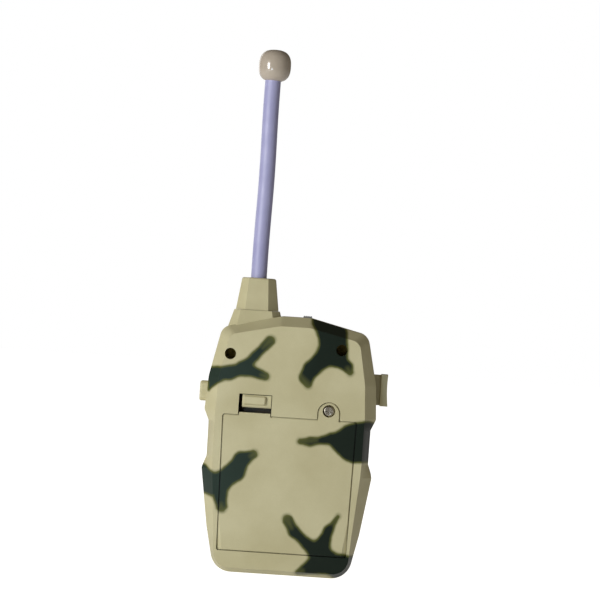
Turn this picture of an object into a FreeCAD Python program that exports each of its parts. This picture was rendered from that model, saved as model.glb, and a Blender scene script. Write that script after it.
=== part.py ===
"""Toy walkie talkie: hand-held two-way radio with a fixed whip aerial and a battery door at the back.

Frame: millimetres, +Z up along the aerial, -Y is the side that faces the user's mouth, +Y is the back with
the battery door, and the origin is the centre of the flat bottom face that the radio stands on.
"""
import FreeCAD, Part
import math
import os

V = FreeCAD.Vector

# ---------------------------------------------------------------- driving dimensions
FRONT_Y, PART_Y, BACK_Y = -17.0, -2.0, 17.0      # front face, parting plane, back face
FRONT_FACET_Y, BACK_FACET_Y = -12.5, 10.5        # where the straight side walls turn into facets
WALL = 2.0                                       # moulded wall
SIDE_WALL = 2.2
GAP = 0.3                                        # clearance between loose pieces
OVERRUN = 1.0                                    # how far a cutting tool runs past the surface it cuts

# right half of the housing's outline, from the bottom centre upwards: x, z, corner radius
SIDE_OUTLINE = [
    (27.6, 0.0, 8.5), (31.6, 18.5, 14.0), (35.2, 42.5, 2.5), (33.4, 47.5, 3.0), (33.5, 62.0, 2.5),
    (35.5, 66.5, 2.5), (34.6, 80.5, 14.0), (30.2, 100.9, 5.0), (6.0, 106.6, 6.0),
]
# the flat back face inside the facets, corner for corner
BACK_OUTLINE = [
    (27.4, 2.4, 6.5), (28.4, 18.5, 14.0), (30.4, 42.5, 2.5), (30.6, 47.5, 3.0), (30.7, 62.0, 2.5),
    (30.8, 66.5, 2.5), (30.0, 80.5, 14.0), (26.8, 98.0, 4.5), (6.0, 102.6, 6.0),
]
FRONT_INSET = 3.0                                # width of the front facets

DOOR_LOW_Z, DOOR_TOP_Z = 9.3, 65.4               # battery door opening
DOOR_HALF_LOW, DOOR_HALF_TOP = 26.7, 27.7
DOOR_GAP, DOOR_STEP_GAP, DOOR_STEP_Y = 0.2, 0.5, 16.3   # play round the door, wider in its top layer
LEDGE_Y = 14.7                                   # ledge that the door lies on
BAY_HALF_X, BAY_LOW_Z, BAY_TOP_Z, BAY_FLOOR_Y = 22.5, 8.5, 63.3, -0.4
BAY_WALL = 1.2

NOTCH_X0, NOTCH_X1, NOTCH_TOP_Z = 7.7, 21.3, 74.0   # notch for the door's spring latch
LATCH_X0, LATCH_X1 = 8.0, 19.9                   # width of the spring latch
LATCH_AXIS_Y, LATCH_AXIS_Z = 9.6, 69.0           # where the latch bends
LATCH_R = 0.6

TAB_X, TAB_Z, TAB_R = -15.9, 68.0, 4.7           # notch for the door's screw tab
SCREW_Z = 69.05
HOOK_XS = (-7.4, 7.4)                            # hooks under the door's lower edge

CASE_SCREWS = [(26.0, 90.1), (-19.6, 94.3)]      # deep recessed case screws
RECESS_R, BOSS_R = 2.35, 3.6

TALK_Z0, TALK_Z1, TALK_Y0, TALK_Y1 = 71.9, 85.1, -6.5, 2.5
TALK_RIM_X0, TALK_RIM_X1, TALK_LIP_X = -36.7, -39.9, -40.5
CALL_Z0, CALL_Z1, CALL_Y0, CALL_Y1 = 69.4, 77.7, -5.5, 1.5
CALL_X = 38.5
KNOB_X0, KNOB_X1, KNOB_TRAVEL = -6.3, -2.7, 2.6  # power knob in the roof

TOWER_X, TOWER_Y = 16.7, 0.0                     # aerial base
TOWER_SEAM_Z, TOWER_TOP_Z = 108.4, 121.9
ROD_R, ROD_TOP_Z = 3.3, 206.5
ROD_LOW = V(16.9, 0.0, 112.5)
ROD_HIGH = V(16.3, 0.0, ROD_TOP_Z)
TIP_R, TIP_X, TIP_Z0, TIP_Z1 = 6.7, 15.95, 203.9, 217.3   # barrel-shaped tip
TIP_SHOULDER_R, TIP_FOOT_R = 5.2, 4.4

BOARD_Y0, BOARD_Y1 = -5.2, -3.6                  # circuit board
BOARD_X0, BOARD_X1, BOARD_Z0, BOARD_Z1 = -24.0, 21.8, 49.5, 89.5

CELL_R, CELL_PITCH, CELL_Y = 7.2, 14.8, 7.15     # AA cells
CELL_BODY, CELL_NUB = 49.2, 1.3

SPEAKER_Z, SPEAKER_R = 28.0, 18.0
GRILLE_R = 15.5

os.makedirs("parts", exist_ok=True)


# ---------------------------------------------------------------- helpers
def box(x0, x1, y0, y1, z0, z1):
    """Axis-aligned block between two corners."""
    return Part.makeBox(x1 - x0, y1 - y0, z1 - z0, V(x0, y0, z0))


def cyl(axis, centre, radius, low, high):
    """Cylinder along 'x', 'y' or 'z'; centre holds the two other coordinates in x, y, z order."""
    if axis == "x":
        return Part.makeCylinder(radius, high - low, V(low, centre[0], centre[1]), V(1, 0, 0))
    if axis == "y":
        return Part.makeCylinder(radius, high - low, V(centre[0], low, centre[1]), V(0, 1, 0))
    return Part.makeCylinder(radius, high - low, V(centre[0], centre[1], low), V(0, 0, 1))


def rod_between(start, end, radius):
    """Round bar from one point to another."""
    run = end - start
    return Part.makeCylinder(radius, run.Length, start, run)


def full_outline(half):
    """Mirror a right-half outline into a closed loop of corners."""
    return list(half) + [(-x, z, r) for x, z, r in reversed(half)]


def inset(corners, distance):
    """Move every side of a counter-clockwise loop inwards; rounded corners keep their centres."""
    result = []
    count = len(corners)
    for i in range(count):
        before, here, after = corners[i - 1], corners[i], corners[(i + 1) % count]
        ax, az = here[0] - before[0], here[1] - before[1]
        bx, bz = after[0] - here[0], after[1] - here[1]
        la, lb = math.hypot(ax, az), math.hypot(bx, bz)
        ax, az, bx, bz = ax / la, az / la, bx / lb, bz / lb
        turn = ax * bz - az * bx
        # both sides move along their left normals; the corner moves to where they cross
        px, pz = here[0] - az * distance, here[1] + ax * distance
        qx, qz = here[0] - bz * distance, here[1] + bx * distance
        t = ((qx - px) * bz - (qz - pz) * bx) / turn
        radius = here[2] - distance if turn > 0 else here[2] + distance
        result.append((px + ax * t, pz + az * t, max(radius, 0.4)))
    return result


def loop(corners, y):
    """Closed wire at one y through rounded corners."""
    edges = []
    points = []
    count = len(corners)
    for i in range(count):
        here = V(corners[i][0], y, corners[i][1])
        before = V(corners[i - 1][0], y, corners[i - 1][1])
        after = V(corners[(i + 1) % count][0], y, corners[(i + 1) % count][1])
        u, w = (before - here).normalize(), (after - here).normalize()
        half = u.getAngle(w) / 2
        reach = corners[i][2] / math.tan(half)
        bisector = (u + w).normalize()
        middle = here + bisector * (corners[i][2] / math.sin(half) - corners[i][2])
        points.append((here + u * reach, middle, here + w * reach))
    for i in range(count):
        start, middle, end = points[i]
        edges.append(Part.Arc(start, middle, end).toShape())
        edges.append(Part.LineSegment(end, points[(i + 1) % count][0]).toShape())
    return Part.Wire(edges)


def prism(corners, y0, y1):
    """Straight block whose section is a rounded loop."""
    return Part.Face(loop(corners, y0)).extrude(V(0, y1 - y0, 0))


def taper(corners0, y0, corners1, y1):
    """Solid with facets between two loops of matching corners."""
    return Part.makeLoft([loop(corners0, y0), loop(corners1, y1)], True, True)


def octagon(half, flat, z):
    """Octagonal wire about the aerial base's axis: half width over the flats, half width of one flat."""
    pts = []
    for k in range(4):
        for a, b in ((half, -flat), (half, flat)):
            turn = k * math.pi / 2
            x = a * math.cos(turn) - b * math.sin(turn)
            y = a * math.sin(turn) + b * math.cos(turn)
            pts.append(V(TOWER_X + x, TOWER_Y + y, z))
    return Part.makePolygon(pts + [pts[0]])


def octagon_taper(z0, half0, flat0, z1, half1, flat1):
    """Octagonal frustum of the aerial base."""
    return Part.makeLoft([octagon(half0, flat0, z0), octagon(half1, flat1, z1)], True, True)


def rounded_block(x0, x1, y0, y1, z0, z1, radius, axis):
    """Block whose four edges along one axis are rounded."""
    block = box(x0, x1, y0, y1, z0, z1)
    along = {"x": V(1, 0, 0), "y": V(0, 1, 0), "z": V(0, 0, 1)}[axis]
    edges = [e for e in block.Edges if abs(abs(e.tangentAt(e.FirstParameter).dot(along)) - 1) < 1e-6]
    return block.makeFillet(radius, edges)


def coil_spring(axis, start, radius, wire, pitch, height):
    """Round-wire coil spring from a start point along 'x' or 'z'."""
    helix = Part.makeHelix(pitch, height, radius)
    lean = V(0, radius * 2 * math.pi, pitch)
    section = Part.Wire([Part.makeCircle(wire / 2, V(radius, 0, 0), lean)])
    spring = Part.Wire(helix).makePipeShell([section], True, True)
    if axis == "x":
        spring.rotate(V(0, 0, 0), V(0, 1, 0), 90)
    spring.translate(start)
    return spring


def joined(shapes):
    """Fuse a list into one shape and drop needless edges."""
    whole = shapes[0].fuse(shapes[1:]) if len(shapes) > 1 else shapes[0]
    return whole.removeSplitter()


def save(node, shape):
    """Write one node and say what it is."""
    if not shape.isValid():
        print("INVALID", node)
    shape.exportStep("parts/%s.step" % node)
    print("%-24s solids %2d  volume %9.1f mm3" % (node, len(shape.Solids), shape.Volume))


# ---------------------------------------------------------------- housing
SIDE = full_outline(SIDE_OUTLINE)
BACK = full_outline(BACK_OUTLINE)


def rear_outside():
    """Outer form of the rear half: straight walls, then facets up to the flat back."""
    return prism(SIDE, PART_Y, BACK_FACET_Y).fuse(taper(SIDE, BACK_FACET_Y, BACK, BACK_Y))


def rear_inside():
    """Hollow of the rear half."""
    floor_y = BACK_Y - WALL
    inner, inner_back = inset(SIDE, SIDE_WALL), inset(BACK, 1.4)
    return prism(inner, PART_Y - 1, BACK_FACET_Y - 1).fuse(
        taper(inner, BACK_FACET_Y - 1, inner_back, floor_y))


def front_outside():
    """Outer form of the front half."""
    return prism(SIDE, FRONT_FACET_Y, PART_Y).fuse(
        taper(inset(SIDE, FRONT_INSET), FRONT_Y, SIDE, FRONT_FACET_Y))


def front_inside():
    """Hollow of the front half."""
    inner = inset(SIDE, SIDE_WALL)
    return prism(inner, FRONT_FACET_Y + 1, PART_Y + 1).fuse(
        taper(inset(inner, FRONT_INSET), FRONT_Y + WALL, inner, FRONT_FACET_Y + 1))


def tower_stub():
    """Lower tier of the aerial base, moulded half on each shell."""
    return octagon_taper(98.0, 12.4, 8.4, TOWER_SEAM_Z, 9.3, 6.4)


def tower_bore():
    """Way through the lower tier for the collar's spigot and the aerial wire."""
    wide = cyl("z", (TOWER_X, TOWER_Y), 5.6, 103.5, 120.0)
    narrow = cyl("z", (TOWER_X, TOWER_Y), 4.0, 90.0, 110.0)
    return wide.fuse(narrow)


def side_openings():
    """Cut-outs shared by both shells: talk button, call button and power switch."""
    play = 0.5
    talk = box(-40, -28, TALK_Y0 - play, TALK_Y1 + play, TALK_Z0 - play, TALK_Z1 + play)
    call = rounded_block(28, 40, CALL_Y0 - GAP, CALL_Y1 + GAP, CALL_Z0 - GAP, CALL_Z1 + GAP, 1.6, "x")
    power = box(KNOB_X0 - GAP, KNOB_X1 + KNOB_TRAVEL + GAP, -3.5, -0.5, 103.0, 108.0)
    return talk.fuse([call, power])


def door_outline(shrink):
    """Loop of the door or its opening; shrink is the play all round."""
    low, top = DOOR_LOW_Z + shrink, DOOR_TOP_Z - shrink
    half = [(DOOR_HALF_LOW - shrink, low, 0.8), (DOOR_HALF_TOP - shrink, top, 1.0)]
    return full_outline(half)


def screw_tab_form(play, y0, y1):
    """Round-topped tab over the door screw; play is taken off its notch."""
    radius = TAB_R - play
    arch = cyl("y", (TAB_X, TAB_Z), radius, y0, y1)
    return arch.fuse(box(TAB_X - radius, TAB_X + radius, y0, y1, DOOR_TOP_Z - 3.0, TAB_Z))


def make_rear_shell():
    """Rear half: battery bay, ledge, screw bosses, latch notch and the lower tier of the aerial base."""
    outside, inside = rear_outside(), rear_inside()
    shell = outside.cut(inside)
    bay = box(-BAY_HALF_X - BAY_WALL, BAY_HALF_X + BAY_WALL, -1.9, LEDGE_Y,
              BAY_LOW_Z - BAY_WALL, BAY_TOP_Z + BAY_WALL)
    ledge_half = DOOR_HALF_TOP + 1.2
    ledge = box(-ledge_half, ledge_half, 13.2, LEDGE_Y + 0.5, BAY_LOW_Z - BAY_WALL, 67.4)
    adds = [bay.common(outside), ledge.common(outside)]
    for x, z in CASE_SCREWS:
        adds.append(cyl("y", (x, z), BOSS_R, PART_Y, BACK_Y - 0.5).common(outside))
    adds.append(tower_stub().cut(box(-40, 40, -40, PART_Y, 90, 130)))
    shell = joined([shell] + adds)
    cuts = [
        box(-BAY_HALF_X, BAY_HALF_X, BAY_FLOOR_Y, LEDGE_Y + OVERRUN / 2, BAY_LOW_Z, BAY_TOP_Z),
        prism(door_outline(0), LEDGE_Y, BACK_Y + OVERRUN),
        box(NOTCH_X0, NOTCH_X1, 13.4, 18, BAY_TOP_Z + 0.1, NOTCH_TOP_Z),
        box(NOTCH_X0, NOTCH_X1, 7.4, 14, BAY_TOP_Z + BAY_WALL, NOTCH_TOP_Z),
        screw_tab_form(0, 9.8, BACK_Y + 1).cut(box(-40, 40, 0, 13, 0, BAY_TOP_Z + BAY_WALL)),
        prism(inset(SIDE, 1.15), PART_Y - 0.5, -0.7),
        tower_bore(),
        side_openings(),
    ]
    for x in HOOK_XS:
        cuts.append(box(x - 2.1, x + 2.1, 12.6, LEDGE_Y + 0.3, 7.0, 11.4))
    shell = shell.cut(cuts)
    # walls that stand on the parting plane's rebate and the post for the door screw
    bosses = [cyl("y", (x, z), BOSS_R, PART_Y, 4.0).common(outside) for x, z in CASE_SCREWS]
    post = cyl("y", (TAB_X, SCREW_Z), 3.4, -1.9, 9.8)
    web = box(TAB_X - 1.0, TAB_X + 1.0, -1.9, 9.0, BAY_TOP_Z + 0.5, SCREW_Z - 2.0)
    floor = box(-BAY_HALF_X - BAY_WALL, BAY_HALF_X + BAY_WALL, -1.9, BAY_FLOOR_Y,
                BAY_LOW_Z - BAY_WALL, BAY_TOP_Z + BAY_WALL)
    shell = joined([shell, post, web, floor] + bosses)
    holes = [cyl("y", (TAB_X, SCREW_Z), 1.95, 5.0, 10.5)]
    for x, z in CASE_SCREWS:
        holes.append(cyl("y", (x, z), RECESS_R, 3.0, 20.0))
        holes.append(cyl("y", (x, z), 1.4, -3.0, 4.0))
    whole = shell.cut(holes)
    return max(whole.Solids, key=lambda solid: solid.Volume)


def grille_slots():
    """Speaker slots through the front face, each as long as the round grille allows."""
    slots = []
    pitch, height = 3.4, 1.6
    for k in range(-4, 5):
        half = math.sqrt(GRILLE_R ** 2 - (k * pitch) ** 2)
        z = SPEAKER_Z + k * pitch
        slots.append(rounded_block(-half, half, FRONT_Y - 1, FRONT_Y + WALL + 1, z - height / 2,
                                   z + height / 2, 0.7, "y"))
    return slots


def panel_frame():
    """Shallow groove that frames the blank panel above the speaker."""
    outer = rounded_block(-21, 21, FRONT_Y - 1, FRONT_Y + 0.6, 53, 80, 4.0, "y")
    return outer.cut(rounded_block(-19.8, 19.8, FRONT_Y - 2, FRONT_Y + 1, 54.2, 78.8, 3.0, "y"))


SPEAKER_SCREWS = [(19.9 * math.cos(math.radians(a)), SPEAKER_Z + 19.9 * math.sin(math.radians(a)))
                  for a in (30, 150, 270)]
BOARD_SCREWS = [(-20.5, 53.0), (18.3, 53.0), (-20.5, 87.0), (16.5, 86.8)]
LED_X, LED_Z = -14.0, 85.0


def make_front_shell():
    """Front half: speaker grille, posts for board and speaker, tongue at the parting line."""
    outside, inside = front_outside(), front_inside()
    shell = outside.cut(inside)
    tongue = prism(inset(SIDE, 1.25), PART_Y - 0.5, -0.85).cut(prism(inset(SIDE, SIDE_WALL), PART_Y - 2, 1))
    adds = [tongue]
    for x, z in CASE_SCREWS:
        adds.append(cyl("y", (x, z), BOSS_R, FRONT_Y + 1, PART_Y).common(outside))
    for x, z in SPEAKER_SCREWS:
        adds.append(cyl("y", (x, z), 1.8, FRONT_Y + 1, -13.6))
    for x, z in BOARD_SCREWS:
        adds.append(cyl("y", (x, z), 2.6, FRONT_Y + 1, BOARD_Y0))
    adds.append(tower_stub().common(box(-40, 40, -40, PART_Y, 90, 130)))
    shell = joined([shell] + adds)
    cuts = [tower_bore(), side_openings(), panel_frame(), cyl("y", (LED_X, LED_Z), 1.6, -18, -14)]
    cuts += grille_slots()
    for x, z in CASE_SCREWS:
        cuts.append(cyl("y", (x, z), 1.2, -12.0, 0.0))
    for x, z in SPEAKER_SCREWS:
        cuts.append(cyl("y", (x, z), 1.05, -15.6, -13.0))
    for x, z in BOARD_SCREWS:
        cuts.append(cyl("y", (x, z), 1.05, -12.0, -4.0))
    return shell.cut(cuts)


def make_case_screws():
    """Self-tapping screws at the bottom of the recesses."""
    screws = []
    for x, z in CASE_SCREWS:
        head = cyl("y", (x, z), 2.2, 3.0, 4.7)
        cross = box(x - 1.3, x + 1.3, 3.9, 5.0, z - 0.25, z + 0.25)
        cross = cross.fuse(box(x - 0.25, x + 0.25, 3.9, 5.0, z - 1.3, z + 1.3))
        screws.append(head.fuse(cyl("y", (x, z), 1.15, -9.0, 3.5)).cut(cross))
    return Part.makeCompound(screws)


# ---------------------------------------------------------------- aerial
def rod_point(z):
    """Point on the aerial's straight centre line."""
    t = (z - ROD_LOW.z) / (ROD_HIGH.z - ROD_LOW.z)
    return ROD_LOW + (ROD_HIGH - ROD_LOW) * t


def aerial_wire():
    """Steel core wire of the soft aerial."""
    return rod_between(rod_point(97.0), rod_point(203.0), 0.8)


def make_antenna_collar():
    """Upper tier of the aerial base, a separate moulding with a spigot in the lower tier."""
    tier = octagon_taper(TOWER_SEAM_Z + 0.1, 8.75, 4.8, TOWER_TOP_Z, 6.9, 4.0)
    top = [e for e in tier.Edges if abs(e.BoundBox.ZMin - TOWER_TOP_Z) < 0.01]
    tier = tier.makeFillet(0.9, top)
    spigot = cyl("z", (TOWER_X, TOWER_Y), 5.5, 104.0, TOWER_SEAM_Z + 1.4)
    bore = rod_between(rod_point(ROD_LOW.z), rod_point(130.0), ROD_R + 0.03)
    core = cyl("z", (TOWER_X, TOWER_Y), 1.6, 100.0, 114.0)
    return joined([tier, spigot]).cut([bore, core])


def make_antenna_rod():
    """Soft plastic aerial rod over its core wire."""
    return rod_between(ROD_LOW, ROD_HIGH, ROD_R).cut(aerial_wire())


def make_antenna_tip():
    """Barrel-shaped tip that guards the aerial's end."""
    tip = cyl("z", (TIP_X, 0), TIP_R, TIP_Z0, TIP_Z1)
    for z, radius in ((TIP_Z1, TIP_SHOULDER_R), (TIP_Z0, TIP_FOOT_R)):
        rim = [e for e in tip.Edges if abs(e.BoundBox.ZMin - z) < 0.01 and e.BoundBox.ZLength < 0.01]
        tip = tip.makeFillet(radius, rim)
    return tip.cut(rod_between(rod_point(190.0), ROD_HIGH, ROD_R + 0.03))


def make_loading_coil():
    """Tuning coil on its former inside the lower tier."""
    former = cyl("z", (TOWER_X, TOWER_Y), 2.2, 92.0, 103.2)
    turns = [Part.makeTorus(2.4, 0.3, V(TOWER_X, TOWER_Y, 93.2 + 0.7 * k)) for k in range(14)]
    return joined([former] + turns).cut(rod_between(rod_point(96.9), rod_point(110.0), 0.85))


# ---------------------------------------------------------------- battery door
def tetra(a, b, c, d):
    """Solid with four corners."""
    faces = [Part.Face(Part.makePolygon([p, q, r, p])) for p, q, r in
             ((a, b, c), (a, b, d), (a, c, d), (b, c, d))]
    return Part.makeSolid(Part.makeShell(faces))


def make_battery_door():
    """Battery door: panel, hooks at the bottom, screw tab and the fixed leg of the spring latch."""
    pieces = [
        prism(door_outline(DOOR_GAP), BACK_Y - WALL, DOOR_STEP_Y),
        prism(door_outline(DOOR_STEP_GAP), DOOR_STEP_Y - 0.1, BACK_Y),
        screw_tab_form(DOOR_GAP, 13.5, DOOR_STEP_Y),
        screw_tab_form(DOOR_STEP_GAP, DOOR_STEP_Y - 0.1, BACK_Y),
    ]
    for x in HOOK_XS:
        pieces.append(box(x - 1.7, x + 1.7, 13.2, 15.2, 9.8, 11.0))
        pieces.append(rounded_block(x - 1.7, x + 1.7, 13.2, 14.6, 7.7, 10.4, 0.5, "x"))
    x0, x1 = LATCH_X0, LATCH_X1
    pieces.append(box(x0, NOTCH_X1 - 0.4, 13.8, BACK_Y, BAY_TOP_Z + 0.3, 66.4))
    pieces.append(box(x0, x1, 7.9, 14.0, 65.3, 66.4))
    pieces.append(box(x0, x1, 7.9, LATCH_AXIS_Y, 65.3, 70.3))
    for side in (-1, 1):
        # low stiffening ribs inside, between the cells
        pieces.append(box(side * 7.4 - 0.5, side * 7.4 + 0.5, 14.0, 15.2, 14.0, 60.0))
    door = joined(pieces)
    cuts = [
        cyl("x", (LATCH_AXIS_Y, LATCH_AXIS_Z), LATCH_R + 0.06, x0 - 1, x1 + 1),
        box(x0 - 1, x1 + 1, LATCH_AXIS_Y - 0.35, 12, 67.2, 72),
        cyl("y", (TAB_X, SCREW_Z), 2.55, 14.8, 18.0),
        cyl("y", (TAB_X, SCREW_Z), 1.5, 13.0, 15.0),
    ]
    for side in (-1, 1):
        cuts.append(tetra(V(side * 27.6, 17.02, 32.0), V(side * 24.4, 17.02, 9.0),
                          V(side * 27.6, 17.02, 9.0), V(side * 27.0, 15.6, 9.0)))
    return door.cut(cuts)


def make_battery_door_latch():
    """Moving leg of the spring latch with its finger pad."""
    x0, x1 = LATCH_X0, LATCH_X1
    barrel = cyl("x", (LATCH_AXIS_Y, LATCH_AXIS_Z), LATCH_R, x0, x1)
    leg = box(x0, x1, LATCH_AXIS_Y, 15.5, 68.5, 69.6)
    tab = box(x0, x1, 14.3, 15.8, 68.9, 73.7)
    pad = rounded_block(10.1, 19.7, 15.5, BACK_Y, 69.6, 73.4, 0.9, "y")
    face = [e for e in pad.Edges if e.BoundBox.YMin > BACK_Y - 0.01]
    pad = pad.makeChamfer(0.6, face)
    return joined([barrel, leg, tab, pad])


def make_door_screw():
    """Pan-head cross-recess screw held captive in the door's tab."""
    head = cyl("y", (TAB_X, SCREW_Z), 2.3, 14.9, 16.5)
    rim = [e for e in head.Edges if abs(e.BoundBox.YMin - 16.5) < 0.01 and abs(e.BoundBox.YMax - 16.5) < 0.01]
    head = head.makeFillet(0.7, rim)
    shank = cyl("y", (TAB_X, SCREW_Z), 1.35, 7.6, 15.2)
    cross = box(TAB_X - 1.4, TAB_X + 1.4, 15.5, 17.0, SCREW_Z - 0.28, SCREW_Z + 0.28)
    cross = cross.fuse(box(TAB_X - 0.28, TAB_X + 0.28, 15.5, 17.0, SCREW_Z - 1.4, SCREW_Z + 1.4))
    return joined([head, shank]).cut(cross)


def make_screw_retaining_ring():
    """Ring on the shank that keeps the screw in the door."""
    return cyl("y", (TAB_X, SCREW_Z), 2.6, 10.1, 10.9).cut(cyl("y", (TAB_X, SCREW_Z), 1.40, 9.0, 12.0))


# ---------------------------------------------------------------- buttons and switches
def make_talk_button():
    """Talk lever: finger rim, narrower root, and a flange inside the wall."""
    dish_radius, dish_z, dish_depth = 60.0, 80.5, 0.5
    rim = box(TALK_RIM_X1, TALK_RIM_X0, TALK_Y0, TALK_Y1, TALK_Z0, TALK_Z1)
    lip = box(TALK_LIP_X, TALK_RIM_X1 + 1.0, TALK_Y0, TALK_Y1, TALK_Z0, TALK_Z0 + 2.4)
    dish = cyl("y", (TALK_RIM_X1 - dish_radius + dish_depth, dish_z), dish_radius,
               TALK_Y0 - OVERRUN, TALK_Y1 + OVERRUN)
    root = box(TALK_RIM_X0 - 0.2, -29.5, TALK_Y0 + 1.0, TALK_Y1 - 1.6, TALK_Z0 + 0.3, TALK_Z1 - 0.3)
    flange = box(-30.2, -28.8, TALK_Y0 - 1.2, TALK_Y1 + 1.2, TALK_Z0 - 1.0, TALK_Z1 + 0.8)
    return joined([joined([rim, lip]).cut(dish), root, flange])


def make_talk_switch_slider():
    """Slider that the talk lever pushes into its switch."""
    return box(-28.8, -21.8, -2.8, -1.2, 77.6, 80.4)


def make_talk_switch_body():
    """Push-to-talk switch on the board."""
    body = box(-23.6, -13.0, BOARD_Y1, 1.4, 74.0, 84.0)
    return body.cut(box(-24.0, -19.0, -3.0, -1.0, 77.4, 80.6))


def make_call_button():
    """Call button with its retaining flange and stem."""
    cap = rounded_block(31.0, CALL_X, CALL_Y0, CALL_Y1, CALL_Z0, CALL_Z1, 1.4, "x")
    outer = [e for e in cap.Edges if e.BoundBox.XMin > CALL_X - 0.1]
    cap = cap.makeFillet(0.8, outer)
    flange = box(30.7, 31.7, CALL_Y0 - 1.0, CALL_Y1 + 1.0, CALL_Z0 - 1.2, CALL_Z1 + 1.0)
    stem = box(23.2, 31.0, -3.0, -1.0, 73.2, 76.0)
    return joined([cap, flange, stem])


def make_call_switch_body():
    """Tact switch under the call button."""
    return box(15.8, 21.6, BOARD_Y1, 1.4, 71.6, 77.6)


def make_power_switch_knob():
    """Knob of the power slide switch in the roof."""
    top_z, rib_pitch, rib_width = 107.2, 0.9, 0.45
    ribs = []
    for k in range(4):
        rib_x = KNOB_X0 + 0.2 + rib_pitch * k
        ribs.append(box(rib_x, rib_x + rib_width, -3.2, -0.8, top_z, top_z + 0.2))
    return joined([box(KNOB_X0, KNOB_X1, -3.2, -0.8, 103.1, top_z)] + ribs)


def make_power_switch_body():
    """Power slide switch below the roof."""
    return box(-10.5, 1.5, -4.6, 0.6, 98.0, 102.9)


# ---------------------------------------------------------------- electronics
def make_circuit_board():
    """Single board behind the front face."""
    board = box(BOARD_X0, BOARD_X1, BOARD_Y0, BOARD_Y1, BOARD_Z0, BOARD_Z1)
    return board.cut([cyl("y", (x, z), 1.2, -7, -2) for x, z in BOARD_SCREWS])


def round_head_screws(places, head_y, head_r, tip_y):
    """Small screws along Y whose heads sit at head_y."""
    screws = []
    for x, z in places:
        head = cyl("y", (x, z), head_r, head_y, head_y + 1.2)
        slot = box(x - head_r, x + head_r, head_y + 0.7, head_y + 2, z - 0.25, z + 0.25)
        screws.append(head.fuse(cyl("y", (x, z), 1.0, tip_y, head_y + 0.5)).cut(slot))
    return Part.makeCompound(screws)


def standing_cans(places):
    """Round capacitor cans that stand on the back of the board: x, z, radius, height."""
    return Part.makeCompound([cyl("y", (x, z), r, BOARD_Y1, BOARD_Y1 + h) for x, z, r, h in places])


def make_resistors():
    """Axial resistors on the front of the board, each on two leads."""
    parts = []
    for row in range(3):
        for column in range(4):
            x, z = -16.0 + 9.0 * column, 66.0 + 3.4 * row
            body = cyl("x", (-7.2, z), 1.1, x - 3.0, x + 3.0)
            leads = [box(x + s * 3.45 - 0.25, x + s * 3.45 + 0.25, -7.4, BOARD_Y0, z - 0.25, z + 0.25)
                     for s in (-1, 1)]
            ends = box(x - 3.7, x + 3.7, -7.4, -7.0, z - 0.25, z + 0.25)
            parts.append(joined([body, ends] + leads))
    return Part.makeCompound(parts)


def make_disc_capacitors():
    """Ceramic disc capacitors on the front of the board."""
    return Part.makeCompound([cyl("x", (-8.2, 78.0), 2.6, x, x + 1.6).fuse(
        box(x + 0.5, x + 1.1, -8.0, BOARD_Y0, 77.7, 78.3)) for x in (-8.0, -3.0, 2.0, 7.0, 12.0)])


def make_transistors():
    """Flat-sided transistors on the front of the board."""
    parts = []
    for x in (-7.0, 1.0, 9.0):
        body = cyl("y", (x, 84.0), 2.3, -11.5, -7.0).cut(box(x - 3, x + 3, -12, -6, 85.2, 88))
        legs = [box(x + s * 1.2 - 0.2, x + s * 1.2 + 0.2, -7.2, BOARD_Y0, 83.8, 84.2) for s in (-1, 0, 1)]
        parts.append(joined([body] + legs))
    return Part.makeCompound(parts)


def make_audio_chip():
    """Dual in-line audio amplifier chip on the front of the board."""
    body = box(-5.0, 5.0, -9.2, -6.0, 54.5, 60.8)
    legs = [box(-4.1 + 2.54 * k, -3.5 + 2.54 * k, -8.0, BOARD_Y0, z, z + 0.3)
            for k in range(4) for z in (54.2, 60.8)]
    return joined([body] + legs)


def make_status_led():
    """Round indicator lamp in the front face, on its leads."""
    lamp = cyl("y", (LED_X, LED_Z), 1.5, FRONT_Y, -11.5)
    legs = [box(LED_X + s * 0.8 - 0.2, LED_X + s * 0.8 + 0.2, -11.7, BOARD_Y0, LED_Z - 0.2, LED_Z + 0.2)
            for s in (-1, 1)]
    return joined([lamp] + legs)


# ---------------------------------------------------------------- loudspeaker
def turned(profile):
    """Solid of revolution about the speaker's axis from (radius, y) points."""
    pts = [V(r, y, SPEAKER_Z) for r, y in profile]
    return Part.Face(Part.makePolygon(pts + [pts[0]])).revolve(V(0, 0, SPEAKER_Z), V(0, 1, 0), 360)


def make_speaker_frame():
    """Pressed basket with four windows."""
    basket = turned([(15.6, -14.4), (SPEAKER_R, -14.4), (SPEAKER_R, -13.6), (16.4, -13.6), (10.2, -7.6),
                     (0.0, -7.6), (0.0, -8.4), (9.6, -8.4), (15.0, -13.6), (15.6, -13.6)])
    windows = []
    for k in range(4):
        window = cyl("y", (13.0, SPEAKER_Z), 2.2, -13.3, -8.6)
        window.rotate(V(0, 0, SPEAKER_Z), V(0, 1, 0), 45 + 90 * k)
        windows.append(window)
    return basket.cut(windows)


def make_speaker_cone():
    """Paper cone."""
    return turned([(15.4, -14.3), (15.4, -14.0), (14.0, -13.7), (4.8, -9.6), (4.2, -9.9), (13.8, -14.1)])


def make_speaker_dust_cap():
    """Domed cap in the middle of the cone."""
    dome = Part.makeSphere(8.0, V(0, -4.5, SPEAKER_Z))
    return dome.cut(Part.makeSphere(7.6, V(0, -4.5, SPEAKER_Z))).common(
        cyl("y", (0, SPEAKER_Z), 4.1, -13.0, -11.0))


def make_speaker_magnet():
    """Ferrite magnet with its back plate."""
    return cyl("y", (0, SPEAKER_Z), 9.2, -7.6, -4.8).fuse(cyl("y", (0, SPEAKER_Z), 8.2, -4.8, -4.0))


# ---------------------------------------------------------------- batteries
def cell_span(index):
    """Lowest z of a cell and whether its positive end is up; neighbours alternate."""
    positive_up = index != 0
    return (11.9 if positive_up else 9.4), positive_up


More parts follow.
